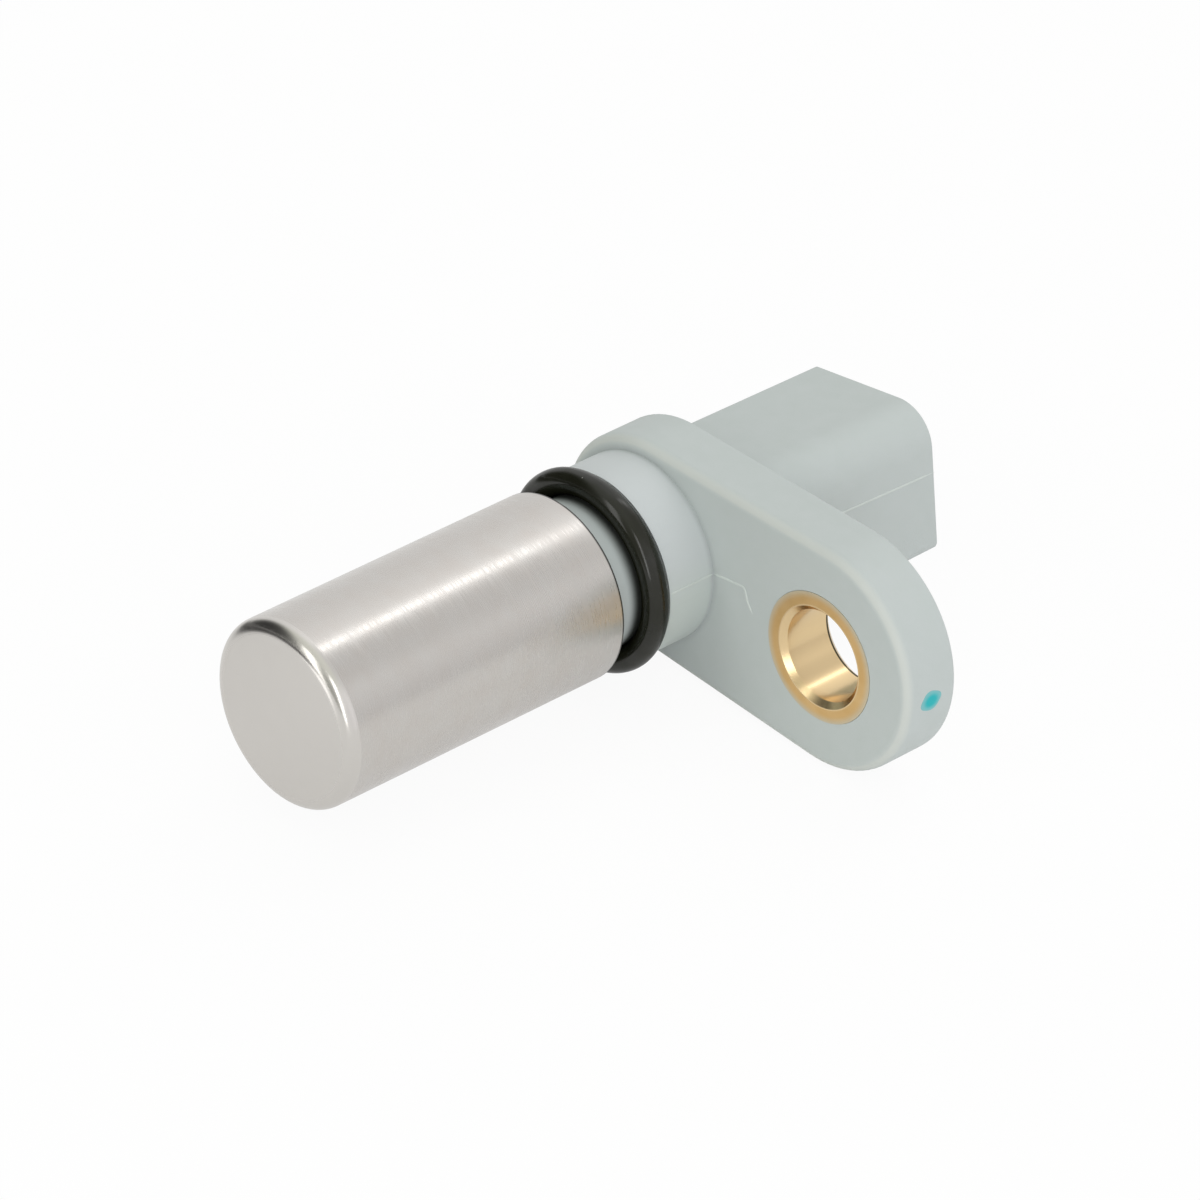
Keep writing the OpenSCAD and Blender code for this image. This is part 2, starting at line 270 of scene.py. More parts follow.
# Colours of painted light and shade: edge highlight, groove shadow, lit shoulder, corner shade.
EDGE_HIGHLIGHT = (0.566, 0.597, 0.570, 1.0)
GROOVE_SHADOW = (0.030, 0.033, 0.029, 1.0)
SHOULDER_LIGHT = (0.540, 0.593, 0.570, 1.0)
SHOULDER_TOP_LIGHT = (0.552, 0.588, 0.592, 1.0)
CORNER_SHADE = (0.462, 0.500, 0.497, 1.0)
DUST = (0.38, 0.40, 0.38, 1.0)
PLASTIC_GRAIN, PLASTIC_RELIEF = 7000.0, 0.000012
PLASTIC_ROUGH, PLASTIC_GLOSS = (0.50, 0.60), 0.4
DUST_SCALE, DUST_RADIUS, DUST_SHARE = 300.0, 0.030, 0.05
EDGE_HIGHLIGHT_RISE, EDGE_HIGHLIGHT_FALL = (0.0, 0.12), (0.25, 0.85)
GROOVE_SHADOW_RISE, GROOVE_SHADOW_FALL = (-8.55, -7.15), (-5.40, -5.20)
SHOULDER_R = 8.9
SHOULDER_LIGHT_RISE, SHOULDER_LIGHT_FALL = (-5.40, -5.20), (-0.30, -0.02)
TOP_LIGHT_FROM, TOP_LIGHT_TO = 0.0, 4.5
CORNER_SHADE_FROM, CORNER_SHADE_TO = 0.62, 0.02


def make_specks():
    """Stray dust: the cells of a Voronoi pattern, kept where the cell's own random value is
    under a share, and filled where a point lies closer to the cell's middle than a radius."""
    group, given, result = start_group(
        "specks",
        (
            ("Vector", "NodeSocketVector"),
            ("Scale", "NodeSocketFloat"),
            ("Radius", "NodeSocketFloat"),
            ("Share", "NodeSocketFloat"),
        ),
        ("Mask",),
    )
    cells = put(
        group,
        "ShaderNodeTexVoronoi",
        {"Vector": given.outputs["Vector"], "Scale": given.outputs["Scale"]},
    )
    near = put(
        group,
        "ShaderNodeMath",
        {0: cells.outputs["Distance"], 1: given.outputs["Radius"]},
        operation="LESS_THAN",
    ).outputs[0]
    chance = put(group, "ShaderNodeSeparateColor", {0: cells.outputs["Color"]}).outputs[0]
    kept = put(
        group, "ShaderNodeMath", {0: chance, 1: given.outputs["Share"]}, operation="LESS_THAN"
    ).outputs[0]
    group.links.new(times(group, near, kept), result.inputs["Mask"])
    return group


SPECKS = make_specks()


def specks(tree, place, scale, radius, share):
    """Places the shared dust in a finish and returns its mask."""
    made = put(tree, "ShaderNodeGroup", node_tree=SPECKS)
    tree.links.new(place, made.inputs["Vector"])
    made.inputs["Scale"].default_value = scale
    made.inputs["Radius"].default_value = radius
    made.inputs["Share"].default_value = share
    return made.outputs["Mask"]


def moulded_plastic(name, main, shade, dust):
    """Moulded plastic: two tones mixed by the broad grain, stray specks, matt fine grain."""
    finish, tree, shader, place = start_material(name)
    height, tone = grain(tree, place, PLASTIC_GRAIN)
    mottled = blend(tree, tone, main, shade)
    dusty = specks(tree, place, DUST_SCALE, DUST_RADIUS, DUST_SHARE)
    tree.links.new(blend(tree, dusty, mottled, dust), shader.inputs["Base Color"])
    tree.links.new(spread(tree, tone, *PLASTIC_ROUGH), shader.inputs["Roughness"])
    roughen(tree, shader, height, PLASTIC_RELIEF)
    shader.inputs["Specular IOR Level"].default_value = PLASTIC_GLOSS
    return finish


def paint_light_and_shade(finish, mask, colour):
    """Lays a colour over a finish where the mask is 1: here painted light and shade."""
    tree = finish.node_tree
    base = tree.nodes["Principled BSDF"].inputs["Base Color"]
    tree.links.new(blend(tree, mask, base.links[0].from_socket, colour), base)


plastic = moulded_plastic("housing_plastic", PLASTIC, PLASTIC_SHADE, DUST)
tree = plastic.node_tree
place = put(tree, "ShaderNodeTexCoord").outputs["Object"]
radius, along = about_axis(tree, place, 0.0)
upper = put(tree, "ShaderNodeSeparateXYZ", {0: place}).outputs["Z"]
over = put(
    tree, "ShaderNodeMath", {0: radius, 1: SHOULDER_R * MM}, operation="SUBTRACT"
).outputs[0]
from_corner = length_of(tree, put(tree, "ShaderNodeCombineXYZ", {0: over, 1: along}).outputs[0])
# Painted highlight along the flange's front edge.
paint_light_and_shade(plastic, band(tree, along, EDGE_HIGHLIGHT_RISE, EDGE_HIGHLIGHT_FALL), EDGE_HIGHLIGHT)
# Painted shadow on the groove floor next to the seal ring.
paint_light_and_shade(plastic, band(tree, along, GROOVE_SHADOW_RISE, GROOVE_SHADOW_FALL), GROOVE_SHADOW)
# Painted light: the shoulder is paler, and paler and bluer towards its top.
shoulder = blend(tree, step(tree, upper, TOP_LIGHT_FROM, TOP_LIGHT_TO), SHOULDER_LIGHT, SHOULDER_TOP_LIGHT)
paint_light_and_shade(plastic, band(tree, along, SHOULDER_LIGHT_RISE, SHOULDER_LIGHT_FALL), shoulder)
# Painted shade in the corner between the shoulder and the flange.
paint_light_and_shade(plastic, step(tree, from_corner, CORNER_SHADE_FROM, CORNER_SHADE_TO), CORNER_SHADE)
dress(plastic, "housing")

# Mould lines: the fine raised edges that the housing keeps where the halves of its mould
# met. They run along the shoulder, bend over on to the flange, and run along both sides of
# the socket's shroud.
LINE_PLASTIC = (0.620, 0.668, 0.642, 1.0)
LINE_SHADE = (0.575, 0.626, 0.603, 1.0)
LINE_W, LINE_H, LINE_SUNK = 0.22, 0.05, 0.06
LINE_TAPER, LINE_TIP = 4.0, 0.1
SHOULDER_LEN = 5.2
SOCKET_TURN = np.radians(10.45)
SHROUD_NEAR, SHROUD_FAR, SHROUD_LEAN = 10.0, -5.0, 0.22
FLANGE_T, RIM_Y = 5.8, 26.5
SIDE_HIGH, SIDE_DROP = 0.85, 0.80
ALONG_Y = (0.0, 1.0, 0.0)
SHOULDER_STEPS, FLANGE_STEPS, SOCKET_STEPS = 24, 48, 40
FLANGE_LINE = (
    (8.80, 0.0, 1.62),
    (10.34, 0.0, 1.90),
    (11.47, 0.0, 2.05),
    (12.45, 0.0, 2.24),
    (12.72, 0.0, 1.90),
    (13.00, 0.0, 1.10),
    (13.43, 0.0, 0.48),
    (13.85, 0.0, 0.05),
)


def solid_from_rings(name, rings):
    """Closed mesh through rings of points, given as an array of ring, point and x, y, z in
    millimetres. Neighbouring rings are joined by quads and the first and last are filled."""
    count, size = rings.shape[:2]
    ring, point = np.meshgrid(np.arange(count - 1), np.arange(size), indexing="ij")
    after = (point + 1) % size
    quads = np.stack(
        [
            ring * size + point,
            ring * size + after,
            (ring + 1) * size + after,
            (ring + 1) * size + point,
        ],
        axis=-1,
    ).reshape(-1, 4)
    ends = [
        np.arange(size)[::-1].tolist(),
        ((count - 1) * size + np.arange(size)).tolist(),
    ]
    mesh = bpy.data.meshes.new(name)
    mesh.from_pydata((rings.reshape(-1, 3) * MM).tolist(), [], quads.tolist() + ends)
    mesh.shade_smooth()
    piece = bpy.data.objects.new(name, mesh)
    bpy.context.scene.collection.objects.link(piece)
    return piece


def bead(name, path, up, finish, profile_points=12):
    """Raised bead: a low half ellipse over a sunk one, carried along the path. Up is the
    surface's normal, and the bead's size falls to a tenth at both ends by the sine of the
    way along, held at full size in the middle."""
    way = np.linspace(0.0, 1.0, len(path))
    size = np.clip(LINE_TAPER * np.sin(np.pi * way), LINE_TIP, 1.0)[:, None, None]
    up = np.tile(up, (len(path), 1))
    side = np.cross(up, np.gradient(path, axis=0))
    side /= np.linalg.norm(side, axis=1)[:, None]
    turn = np.linspace(0.0, 2.0 * np.pi, profile_points, endpoint=False)[None, :, None]
    rise = np.where(np.sin(turn) > 0.0, LINE_H, LINE_SUNK) * np.sin(turn)
    rings = (
        path[:, None, :]
        + side[:, None, :] * np.cos(turn) * size * LINE_W / 2.0
        + up[:, None, :] * rise * size
    )
    piece = solid_from_rings(name, rings)
    piece.data.materials.append(finish)
    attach(piece, "root")


def smooth_path(points, count):
    """Points along a broken line, at even distances, with its corners eased by averaging
    each point with its neighbours, three times."""
    points = np.array(points, float)
    steps = np.linalg.norm(np.diff(points, axis=0), axis=1)
    way = np.concatenate([[0.0], np.cumsum(steps)])
    even = np.linspace(0.0, way[-1], count)
    path = np.stack([np.interp(even, way, column) for column in points.T], axis=1)
    for _ in range(3):
        path[1:-1] = (path[:-2] + 2.0 * path[1:-1] + path[2:]) / 4.0
    return path


mould_line = moulded_plastic("mould_line_plastic", LINE_PLASTIC, LINE_SHADE, DUST)
across = np.array([np.cos(SOCKET_TURN), 0.0, np.sin(SOCKET_TURN)])
upward = np.array([-np.sin(SOCKET_TURN), 0.0, np.cos(SOCKET_TURN)])
for name, side in (("mould_line_shoulder", 1.0), ("mould_line_shoulder_far", -1.0)):
    ways = np.linspace(-SHOULDER_LEN, 0.0, SHOULDER_STEPS)
    path = side * SHOULDER_R * across + np.outer(ways, ALONG_Y)
    bead(name, path, side * across, mould_line)
bead("mould_line_flange", smooth_path(FLANGE_LINE, FLANGE_STEPS), (0.0, -1.0, 0.0), mould_line)
for name, reach, side in (
    ("mould_line_socket", SHROUD_NEAR, 1.0),
    ("mould_line_socket_far", SHROUD_FAR, -1.0),
):
    ways = np.linspace(0.0, 1.0, SOCKET_STEPS)
    path = (
        np.outer(reach - side * SHROUD_LEAN * ways, across)
        + np.outer(SIDE_HIGH - SIDE_DROP * ways, upward)
        + np.outer(FLANGE_T + (RIM_Y - FLANGE_T) * ways, ALONG_Y)
    )
    bead(name, path, side * across, mould_line)

# Circuit board: green lacquered glass-fibre laminate on the carrier's bed, with the weave
# of the glass faintly showing. Two ceramic capacitors are soldered to it.
LACQUER = (0.020, 0.120, 0.045, 1.0)
LACQUER_PALE = (0.035, 0.165, 0.065, 1.0)
CERAMIC = (0.46, 0.31, 0.16, 1.0)
CERAMIC_SHADE = (0.38, 0.25, 0.12, 1.0)
WEAVE_SCALE, WEAVE_RELIEF = 500.0, 0.000010
LACQUER_GRAIN, LACQUER_ROUGH = 2500.0, (0.22, 0.34)

board, tree, shader, place = start_material("board_lacquer")
weave = put(
    tree, "ShaderNodeTexWave", {"Vector": place, "Scale": WEAVE_SCALE}, bands_direction="X"
).outputs["Fac"]
tone = grain(tree, place, LACQUER_GRAIN)[1]
tree.links.new(blend(tree, weave, LACQUER, LACQUER_PALE), shader.inputs["Base Color"])
tree.links.new(spread(tree, tone, *LACQUER_ROUGH), shader.inputs["Roughness"])
roughen(tree, shader, weave, WEAVE_RELIEF)
dress(board, "circuit_board")
dress(
    moulded_plastic("capacitor_ceramic", CERAMIC, CERAMIC_SHADE, CERAMIC_SHADE),
    "capacitor_1",
    "capacitor_2",
)

# Sensing element: a chip in black epoxy whose tinned legs bend back to the board, with a
# sintered magnet behind it, both set in the round head of a black moulded carrier.
EPOXY = (0.014, 0.014, 0.016, 1.0)
EPOXY_PALE = (0.024, 0.024, 0.026, 1.0)
CARRIER = (0.040, 0.044, 0.050, 1.0)
CARRIER_PALE = (0.055, 0.060, 0.066, 1.0)
SINTER = (0.15, 0.155, 0.165, 1.0)
SINTER_DARK = (0.09, 0.095, 0.10, 1.0)
SINTER_GRAIN, SINTER_ROUGH, SINTER_RELIEF = 4000.0, (0.45, 0.65), 0.000020

dress(moulded_plastic("chip_epoxy", EPOXY, EPOXY_PALE, EPOXY_PALE), "sensor_chip")
dress(moulded_plastic("carrier_plastic", CARRIER, CARRIER_PALE, CARRIER_PALE), "chip_carrier")
magnet, tree, shader, place = start_material("sintered_magnet")
height, tone = grain(tree, place, SINTER_GRAIN)
tree.links.new(blend(tree, height, SINTER_DARK, SINTER), shader.inputs["Base Color"])
tree.links.new(spread(tree, tone, *SINTER_ROUGH), shader.inputs["Roughness"])
roughen(tree, shader, height, SINTER_RELIEF)
shader.inputs["Metallic"].default_value = 1.0
dress(magnet, "bias_magnet")

# Sensor cap: a cup deep-drawn from thin stainless sheet, polished while it spins, then
# pressed over the housing's plug. Fine lines run round it, and its end is a shade duller than
# the bend round it. A dark line of painted shade and painted reflection runs along its rim.
STEEL = (0.575, 0.555, 0.530, 1.0)
STEEL_WARM = (0.560, 0.530, 0.500, 1.0)
STEEL_END = (0.615, 0.592, 0.562, 1.0)
STEEL_DARK = (0.06, 0.058, 0.055, 1.0)
END_Y = -40.9
BEND_FROM, BEND_TO = 7.50, 7.70
RIM_SHADE_FROM, RIM_SHADE_TO = -10.80, -10.64
DULL_FROM, DULL_TO, DULLER = -24.0, -12.0, 0.07
POLISH_GRAIN, POLISH_STRETCH = 9000.0, (0.05, 1.0, 0.05)
POLISH_LOW, POLISH_HIGH = 0.45, 0.90
WALL_ROUGH, END_ROUGH, BEND_ROUGH = (0.17, 0.33), (0.30, 0.36), 0.24
CLOUD_GRAIN, CLOUD_RELIEF = 6000.0, 0.0000010
PIT_SCALE, PIT_RADIUS, PIT_SHARE = 160.0, 0.030, 0.06

steel, tree, shader, place = start_material("drawn_steel")
lines = grain(tree, place, POLISH_GRAIN, POLISH_STRETCH)[0]
cloud_height, cloud = grain(tree, place, CLOUD_GRAIN)
radius, along = about_axis(tree, place, 0.0)
on_end = put(
    tree, "ShaderNodeMath", {0: along, 1: END_Y * MM}, operation="LESS_THAN"
).outputs[0]
on_bend = step(tree, radius, BEND_FROM, BEND_TO)
# A thin dark line of painted shade and painted reflection along the rim.
rim_shade = step(tree, along, RIM_SHADE_FROM, RIM_SHADE_TO)
pits = specks(tree, place, PIT_SCALE, PIT_RADIUS, PIT_SHARE)
polished = blend(tree, on_end, blend(tree, cloud, STEEL, STEEL_WARM), STEEL_END)
rim_shaded = blend(tree, rim_shade, polished, STEEL_DARK)
tree.links.new(blend(tree, pits, rim_shaded, STEEL_DARK), shader.inputs["Base Color"])
line_rough = put(
    tree,
    "ShaderNodeMapRange",
    {
        "Value": lines,
        "From Min": POLISH_LOW,
        "From Max": POLISH_HIGH,
        "To Min": WALL_ROUGH[0],
        "To Max": WALL_ROUGH[1],
    },
).outputs[0]
duller = put(
    tree,
    "ShaderNodeMapRange",
    {"Value": along, "From Min": DULL_FROM * MM, "From Max": DULL_TO * MM, "To Max": DULLER},
).outputs[0]
wall_rough = put(tree, "ShaderNodeMath", {0: line_rough, 1: duller}, operation="ADD").outputs[0]
end_rough = choose(tree, on_bend, spread(tree, cloud, *END_ROUGH), BEND_ROUGH)
tree.links.new(choose(tree, on_end, wall_rough, end_rough), shader.inputs["Roughness"])
roughen(tree, shader, cloud_height, CLOUD_RELIEF)
shader.inputs["Metallic"].default_value = 1.0
dress(steel, "sensor_cap")

# Seal ring: an extruded and joined ring of black rubber, stretched into the groove behind
# the cap. It is smooth and a little oily, with a few grains of dust stuck to it.
RUBBER = (0.0090, 0.0095, 0.0055, 1.0)
RUBBER_PALE = (0.0150, 0.0155, 0.0095, 1.0)
LINT = (0.20, 0.20, 0.19, 1.0)
RUBBER_GRAIN, RUBBER_ROUGH, RUBBER_RELIEF = 3500.0, (0.45, 0.55), 0.000006
LINT_SCALE, LINT_RADIUS, LINT_SHARE = 900.0, 0.10, 0.06
OIL_FROM, OIL_TO = 7.9, 8.5
OIL_FULL, OIL_THIN = 1.0, 0.55
OIL_ROUGH, OIL_IOR = 0.16, 1.50

rubber, tree, shader, place = start_material("seal_rubber")
height, tone = grain(tree, place, RUBBER_GRAIN)
linty = specks(tree, place, LINT_SCALE, LINT_RADIUS, LINT_SHARE)
body = blend(tree, tone, RUBBER, RUBBER_PALE)
tree.links.new(blend(tree, linty, body, LINT), shader.inputs["Base Color"])
tree.links.new(spread(tree, tone, *RUBBER_ROUGH), shader.inputs["Roughness"])
roughen(tree, shader, height, RUBBER_RELIEF)
outside = step(tree, about_axis(tree, place, 0.0)[0], OIL_FROM, OIL_TO)
oily = times(tree, outside, spread(tree, tone, OIL_FULL, OIL_THIN))
tree.links.new(oily, shader.inputs["Coat Weight"])
shader.inputs["Coat Roughness"].default_value = OIL_ROUGH
shader.inputs["Coat IOR"].default_value = OIL_IOR
shader.inputs["Specular IOR Level"].default_value = 0.0
dress(rubber, "seal_ring")

# Paint dot: a dab of turquoise paint put on the end of the bolt ear with a marker after the
# last test. It is slanted and rounded, and the paint thins out towards its edge.
PAINT = (0.004, 0.415, 0.445, 1.0)
PAINT_PALE = (0.012, 0.450, 0.480, 1.0)
PAINT_THIN = (0.190, 0.485, 0.500, 1.0)
PAINT_GRAIN, PAINT_RELIEF = 2500.0, 0.000010
PAINT_ROUGH, PAINT_GLOSS = (0.40, 0.52), 0.3
EAR_R = 10.76
DOT_Y, DOT_Z, DOT_H, DOT_SUNK = 2.84, 0.16, 0.05, 0.06
DOT_LEVEL = (1.00, -0.42)
DOT_SLANT = (0.52, 0.83)
DOT_POWER, DOT_START = 0.7, 0.02
THIN_FROM, THIN_TO = 0.40, 1.0


def paint_dot_rings(count=14, size=48):
    """Rings of the dab: a rounded parallelogram, which is an ellipse spanned by a level and a
    slanted half axis with its cosine and sine raised to a power under 1, scaled from nothing
    to full and back. Going out, the rings stand over the ear's round end by a quarter
    circle's height; coming back, they lie sunk in it."""
    turn = np.linspace(0.0, 2.0 * np.pi, size, endpoint=False)[None, :]
    slope = np.linspace(DOT_START, 0.5 * np.pi, count)
    reach = np.concatenate([np.sin(slope), np.sin(slope)[::-1]])[:, None]
    rise = np.concatenate([DOT_H * np.cos(slope), np.full(count, -DOT_SUNK)])[:, None]
    level = reach * np.sign(np.cos(turn)) * np.abs(np.cos(turn)) ** DOT_POWER
    slant = reach * np.sign(np.sin(turn)) * np.abs(np.sin(turn)) ** DOT_POWER
    y = DOT_Y + level * DOT_LEVEL[0] + slant * DOT_SLANT[0]
    z = DOT_Z + level * DOT_LEVEL[1] + slant * DOT_SLANT[1]
    x = BOLT_X + np.sqrt(EAR_R**2 - z**2) + rise
    return np.stack([x, y, z], axis=-1)


def from_dot_middle(tree, place):
    """Distance from the dab's middle, counted in its half axes: the place is split into its
    shares of the two half axes, and their length is taken. A thousandth is one half axis."""
    away = put(
        tree,
        "ShaderNodeVectorMath",
        {0: place, 1: (0.0, DOT_Y * MM, DOT_Z * MM)},
        operation="SUBTRACT",
    ).outputs[0]
    level, slant = (
        put(
            tree, "ShaderNodeVectorMath", {0: away, 1: (0.0, *row)}, operation="DOT_PRODUCT"
        ).outputs["Value"]
        for row in np.linalg.inv(np.array([DOT_LEVEL, DOT_SLANT]).T).tolist()
    )
    return length_of(tree, put(tree, "ShaderNodeCombineXYZ", {0: level, 1: slant}).outputs[0])


enamel, tree, shader, place = start_material("dot_paint")
height, tone = grain(tree, place, PAINT_GRAIN)
thin = step(tree, from_dot_middle(tree, place), THIN_FROM, THIN_TO)
full = blend(tree, tone, PAINT, PAINT_PALE)
tree.links.new(blend(tree, thin, full, PAINT_THIN), shader.inputs["Base Color"])
tree.links.new(spread(tree, tone, *PAINT_ROUGH), shader.inputs["Roughness"])
roughen(tree, shader, height, PAINT_RELIEF)
shader.inputs["Specular IOR Level"].default_value = PAINT_GLOSS
dot = solid_from_rings("paint_dot", paint_dot_rings())
dot.data.materials.append(enamel)
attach(dot, "root")

# Floor: a sheet of white paper under the sensor, which shows white to the camera and keeps
# a soft shadow. Mirrored rays alone see a dark area on its left and a bright strip ahead,
# which give the bands along the bend of the cap.
FLOOR_Z = -10.80 * MM
FLOOR_REACH = 4.0
WHITE = (1.0, 1.0, 1.0, 1.0)
PAPER = (0.90, 0.90, 0.90, 1.0)
PAPER_SHADE = (0.87, 0.87, 0.87, 1.0)
PAPER_GRAIN, PAPER_ROUGH = 900.0, 0.9
DARK = (0.06, 0.06, 0.06, 1.0)
DARK_AT = (-0.306, -0.397, FLOOR_Z)
DARK_FROM, DARK_TO = 436.0, 408.0
DARK_RIGHT, DARK_LEFT = -3.0, -10.0
BRIGHT = (2.2, 2.2, 2.2, 1.0)
BRIGHT_ACROSS = (0.984, -0.179, 0.0)
BRIGHT_RISE, BRIGHT_FALL = (-12.5, -6.0), (3.5, 10.0)
BRIGHT_FROM, BRIGHT_TO = -66.0, -80.0
FLOOR_SEEN, FLOOR_MIRRORED = 0.93, 0.58


def by_eye(tree):
    """1 where a ray comes straight from the camera or through something clear, and the mask
    of rays mirrored by something glossy."""
    path = put(tree, "ShaderNodeLightPath").outputs
    straight = put(
        tree,
        "ShaderNodeMath",
        {0: path["Is Camera Ray"], 1: path["Is Transmission Ray"]},
        operation="MAXIMUM",
    ).outputs[0]
    return straight, path["Is Glossy Ray"]


floor_mesh = bpy.data.meshes.new("floor")
floor_mesh.from_pydata(
    [
        (-FLOOR_REACH, -FLOOR_REACH, FLOOR_Z),
        (FLOOR_REACH, -FLOOR_REACH, FLOOR_Z),
        (FLOOR_REACH, FLOOR_REACH, FLOOR_Z),
        (-FLOOR_REACH, FLOOR_REACH, FLOOR_Z),
    ],
    [],
    [(0, 1, 2, 3)],
)
floor = bpy.data.objects.new("floor", floor_mesh)
bpy.context.scene.collection.objects.link(floor)

paper, tree, shader, place = start_material("floor_paper")
tone = grain(tree, place, PAPER_GRAIN)[1]
tree.links.new(blend(tree, tone, PAPER, PAPER_SHADE), shader.inputs["Base Color"])
shader.inputs["Roughness"].default_value = PAPER_ROUGH
shader.inputs["Specular IOR Level"].default_value = 0.0
straight, mirrored = by_eye(tree)
ahead = put(tree, "ShaderNodeSeparateXYZ", {0: place}).outputs["Y"]
across_strip = put(
    tree, "ShaderNodeVectorMath", {0: place, 1: BRIGHT_ACROSS}, operation="DOT_PRODUCT"
).outputs["Value"]
from_dark = put(
    tree, "ShaderNodeVectorMath", {0: place, 1: DARK_AT}, operation="DISTANCE"
).outputs["Value"]
dark_floor = times(
    tree,
    step(tree, from_dark, DARK_FROM, DARK_TO),
    step(tree, across_strip, DARK_RIGHT, DARK_LEFT),
)
bright_floor = times(
    tree,
    band(tree, across_strip, BRIGHT_RISE, BRIGHT_FALL),
    step(tree, ahead, BRIGHT_FROM, BRIGHT_TO),
)
marked_floor = put(
    tree, "ShaderNodeMath", {0: dark_floor, 1: bright_floor}, operation="MAXIMUM"
).outputs[0]
by_gloss = times(tree, mirrored, spread(tree, marked_floor, FLOOR_MIRRORED, 1.0))
share = put(
    tree,
    "ShaderNodeMath",
    {0: straight, 1: FLOOR_SEEN, 2: by_gloss},
    operation="MULTIPLY_ADD",
).outputs[0]
marked = blend(tree, bright_floor, blend(tree, dark_floor, WHITE, DARK), BRIGHT)
seen = blend(tree, straight, marked, WHITE)
glow = put(tree, "ShaderNodeEmission", {"Color": seen, "Strength": 1.0})
lit = put(tree, "ShaderNodeMixShader", {0: share, 1: shader.outputs[0], 2: glow.outputs[0]})
tree.links.new(lit.outputs[0], tree.nodes["Material Output"].inputs["Surface"])
floor_mesh.materials.append(paper)

# Tent: white cloth all round the sensor that shows white to the camera. Its light falls off
# to the front and is gone on the left, where the tent is open, and is strongest on the
# right. Stops give the level by degrees round the barrel behind, and by height in front.
TENT_LEFT = (0.0, 0.0, 0.0, 1.0)
TENT_RIGHT = (1.26, 1.245, 1.285, 1.0)
TENT_FRONT = (0.98, 1.00, 0.93)
LEFT_AIM, LEFT_NEAR, LEFT_FAR = (-0.87, -0.43, 0.22), 16.0, 42.0
RIGHT_AIM, RIGHT_NEAR, RIGHT_FAR = (0.96, -0.22, 0.15), 25.0, 50.0
RIGHT_MIRRORED, WHITE_MIRRORED = 0.68, 0.04
FRONT_FROM, FRONT_TO = 0.25, -0.30
BEHIND_STOPS = (
    (0.0, 0.74),
    (12.0, 0.80),
    (22.0, 0.88),
    (38.0, 0.97),
    (55.0, 0.84),
    (78.0, 0.82),
    (90.0, 1.00),
    (102.0, 1.20),
    (115.0, 1.14),
    (135.0, 1.02),
    (155.0, 0.95),
    (180.0, 0.92),
)
FRONT_STOPS = (
    (0.0, 0.50),
    (0.12, 0.40),
    (0.35, 0.40),
    (0.60, 0.66),
    (0.80, 0.86),
    (1.0, 1.00),
)


def shades(tree, value, stops, tint=(1.0, 1.0, 1.0)):
    """Levels of a tint between stops along a value, each stop given as value and level."""
    low, high = stops[0][0], stops[-1][0]
    way = put(
        tree, "ShaderNodeMapRange", {"Value": value, "From Min": low, "From Max": high}
    ).outputs[0]
    ramp = put(tree, "ShaderNodeValToRGB", {0: way})
    marks = ramp.color_ramp.elements
    while len(marks) < len(stops):
        marks.new(0.5)
    for mark, (at, level) in zip(marks, stops):
        mark.position = (at - low) / (high - low)
        mark.color = (level * tint[0], level * tint[1], level * tint[2], 1.0)
    return ramp.outputs[0]


def toward(tree, heading, direction, near, far):
    """1 within the angle near of a direction, falling smoothly to 0 at the angle far."""
    aim = Vector(direction).normalized()
    closeness = put(
        tree, "ShaderNodeVectorMath", {0: heading, 1: aim}, operation="DOT_PRODUCT"
    ).outputs["Value"]
    return put(
        tree,
        "ShaderNodeMapRange",
        {
            "Value": closeness,
            "From Min": float(np.cos(np.radians(far))),
            "From Max": float(np.cos(np.radians(near))),
        },
        interpolation_type="SMOOTHSTEP",
    ).outputs[0]


world = bpy.data.worlds.new("tent")
bpy.context.scene.world = world
world.use_nodes = True
tree = world.node_tree
heading = put(tree, "ShaderNodeTexCoord").outputs["Generated"]
part_of = put(tree, "ShaderNodeSeparateXYZ", {0: heading}).outputs
straight, mirrored = by_eye(tree)
round_axis = put(
    tree, "ShaderNodeMath", {0: part_of["Z"], 1: part_of["X"]}, operation="ARCTAN2"
).outputs[0]
turned = put(tree, "ShaderNodeMath", {0: round_axis}, operation="DEGREES").outputs[0]
behind = shades(tree, turned, BEHIND_STOPS)
in_front = shades(tree, part_of["Z"], FRONT_STOPS, TENT_FRONT)
facing = put(
    tree,
    "ShaderNodeMapRange",
    {"Value": part_of["Y"], "From Min": FRONT_FROM, "From Max": FRONT_TO},
    interpolation_type="SMOOTHSTEP",
).outputs[0]
fronted = blend(tree, facing, behind, in_front)
to_right = times(
    tree,
    toward(tree, heading, RIGHT_AIM, RIGHT_NEAR, RIGHT_FAR),
    spread(tree, mirrored, 1.0, RIGHT_MIRRORED),
)
righted = blend(tree, to_right, fronted, TENT_RIGHT)
to_left = toward(tree, heading, LEFT_AIM, LEFT_NEAR, LEFT_FAR)
sky = tree.nodes["Background"]
tree.links.new(blend(tree, to_left, righted, TENT_LEFT), sky.inputs["Color"])
sky.inputs["Strength"].default_value = 1.0
backdrop = put(tree, "ShaderNodeBackground", {"Color": WHITE, "Strength": 1.0})
share = put(
    tree,
    "ShaderNodeMath",
    {0: mirrored, 1: WHITE_MIRRORED, 2: straight},
    operation="MULTIPLY_ADD",
).outputs[0]
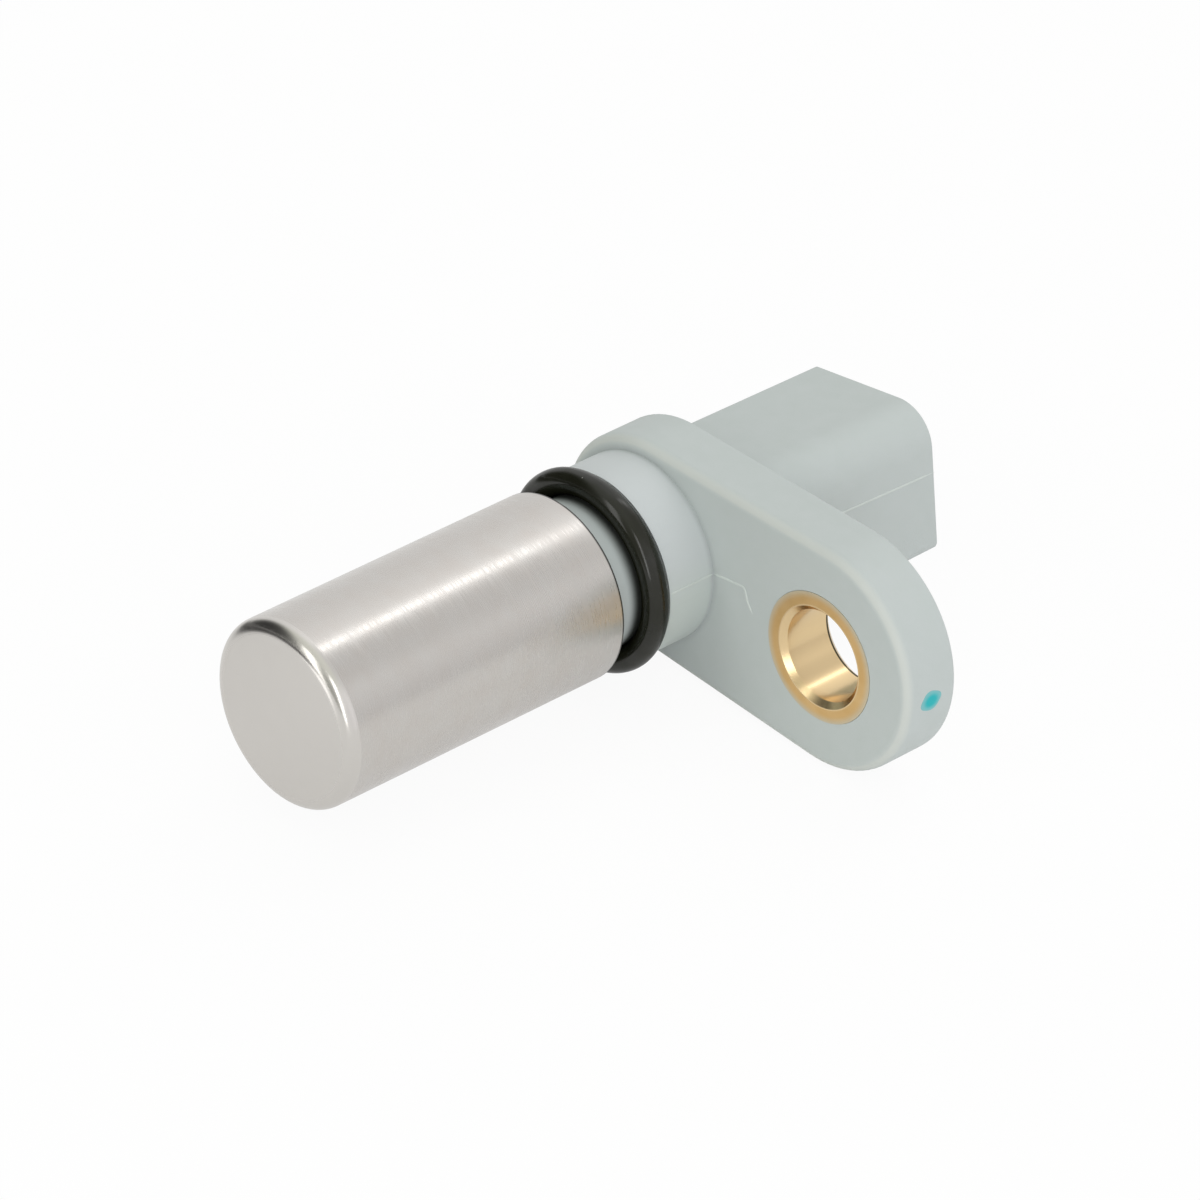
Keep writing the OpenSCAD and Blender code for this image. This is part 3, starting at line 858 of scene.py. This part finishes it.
shown = put(tree, "ShaderNodeMixShader", {0: share, 1: sky.outputs[0], 2: backdrop.outputs[0]})
tree.links.new(shown.outputs[0], tree.nodes["World Output"].inputs["Surface"])

# Soft boxes: three lamps behind white cloth, one above and behind, two in front. Each is
# given by its direction from the sensor, its width and height, its watts and its tint.
BOX_AWAY = 0.6
NEUTRAL = (1.0, 1.0, 1.0)
SOFT_BOXES = (
    ("box_behind", (-0.084, 0.591, 0.802), (0.06, 0.40), 0.14, NEUTRAL),
    ("box_right", (0.56, -0.80, 0.38), (0.10, 0.46), 0.54, NEUTRAL),
    ("box_front", (-0.193, -0.907, 0.375), (0.15, 0.46), 0.48, (1.0, 1.0, 0.98)),
)

for name, direction, size, watts, tint in SOFT_BOXES:
    lamp = bpy.data.lights.new(name, "AREA")
    lamp.shape = "RECTANGLE"
    lamp.size, lamp.size_y = size
    lamp.energy = watts
    lamp.color = tint
    box = bpy.data.objects.new(name, lamp)
    aim = Vector(direction).normalized()
    box.location = aim * BOX_AWAY
    box.rotation_mode = "QUATERNION"
    box.rotation_quaternion = aim.to_track_quat("Z", "Y")
    bpy.context.scene.collection.objects.link(box)

# Camera: a long lens from the right, in front of and above the sensor. Its matrix has the
# directions to the right, up and back as columns, and then the place of the eye.
LENS, SENSOR = 233.66, 36.0
CLIP_NEAR, CLIP_FAR = 0.01, 20.0
EYE = (0.393263, -0.407255, 0.379508)
RIGHT = (0.6847156, 0.72633114, 0.06006357)
UP = (-0.44443787, 0.35081173, 0.82426095)
BACK = (0.57761538, -0.59107885, 0.56301533)

camera_data = bpy.data.cameras.new("camera")
camera_data.lens = LENS
camera_data.sensor_width = SENSOR
camera_data.clip_start, camera_data.clip_end = CLIP_NEAR, CLIP_FAR
camera = bpy.data.objects.new("camera", camera_data)
bpy.context.scene.collection.objects.link(camera)
camera.matrix_world = Matrix(
    [[RIGHT[i], UP[i], BACK[i], EYE[i]] for i in range(3)] + [[0.0, 0.0, 0.0, 1.0]]
)
bpy.context.scene.camera = camera
bpy.context.scene.view_settings.view_transform = "Standard"

bpy.context.view_layer.update()
